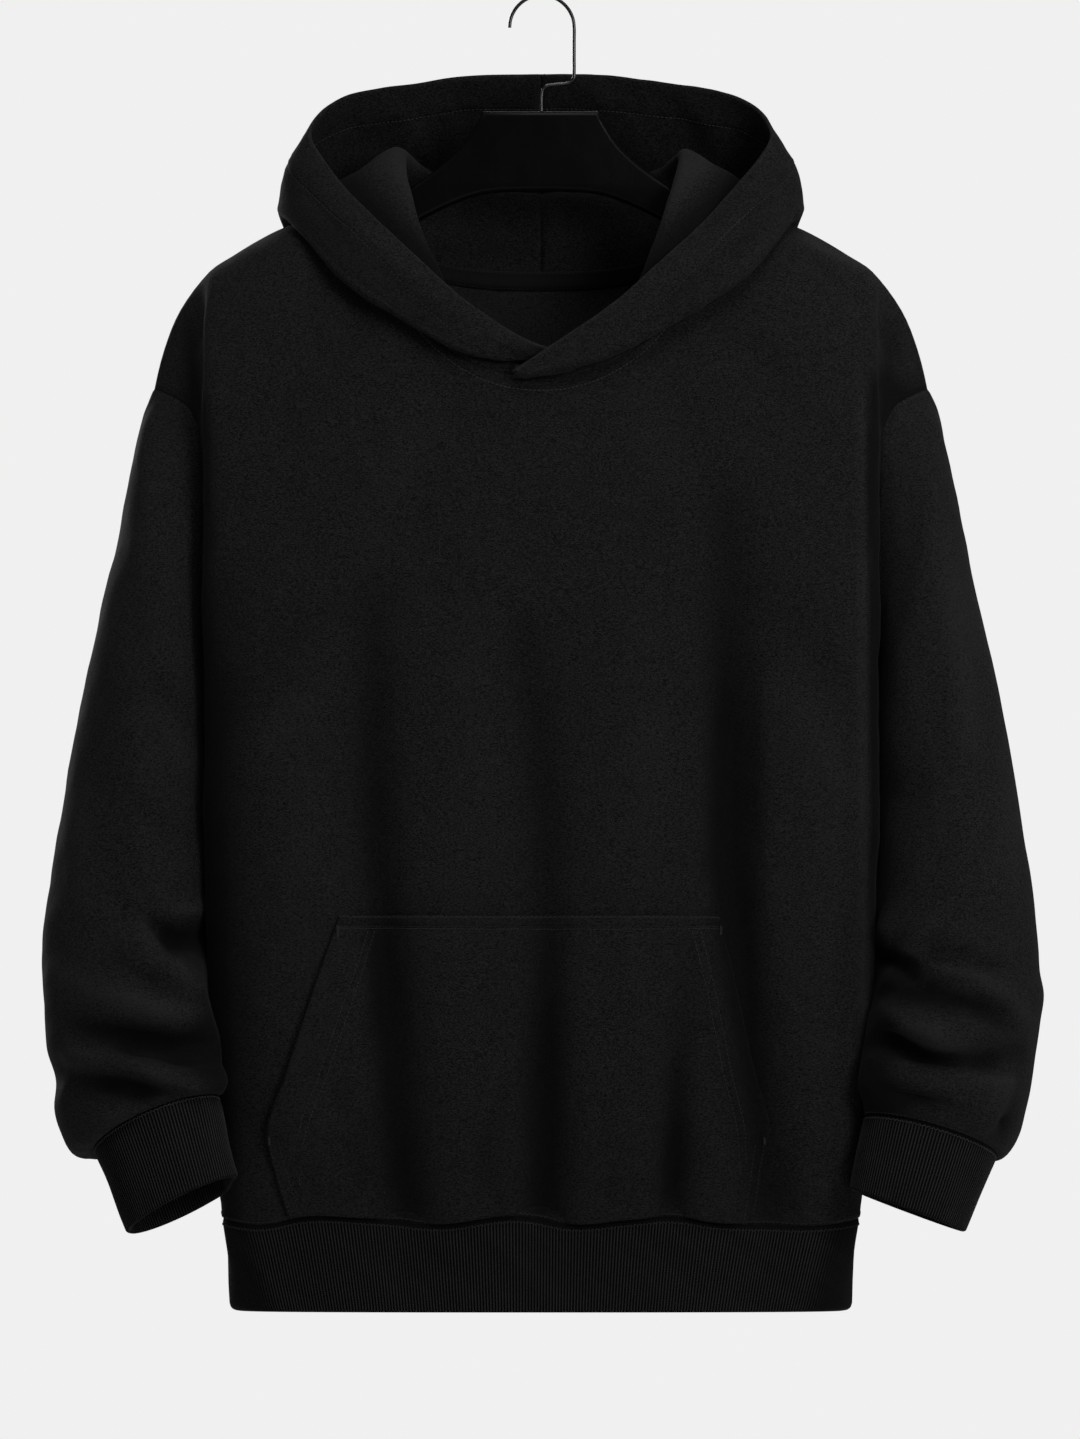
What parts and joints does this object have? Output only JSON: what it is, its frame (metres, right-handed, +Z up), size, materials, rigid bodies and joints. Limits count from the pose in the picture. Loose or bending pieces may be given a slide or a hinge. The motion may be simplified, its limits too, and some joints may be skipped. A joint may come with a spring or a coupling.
{
  "type": "pullover hoodie on hanger",
  "caption": "Pullover hoodie with a crossed two-piece hood, front pouch pocket and ribbed cuffs and hem, hanging open on a moulded suit hanger with a wire hook.",
  "frame": {"origin": "inside top of the hanger's wire hook, where it rests on its rail", "axes": "+X to the wearer's left, -Y to the front of the hoodie, +Z up"},
  "size_m": [0.638, 0.2107, 0.8442],
  "materials": {
    "fleece": "brushed black cotton fleece, matt with a short nap",
    "rib": "black knitted rib, matt",
    "tape": "black twill tape",
    "hanger_plastic": "black moulded plastic, satin",
    "hook_wire": "dark steel wire, satin"
  },
  "bodies": {
    "root": {"front_panel": "fleece", "back_panel": "fleece", "sleeve_left": "fleece", "sleeve_right": "fleece", "hood_left": "fleece", "hood_right": "fleece", "pocket": "fleece", "cuff_left": "rib", "cuff_right": "rib", "hem_band": "rib", "neck_tape": "tape", "hanger_body": "hanger_plastic", "hanger_hook": "hook_wire"}
  },
  "joints": []
}
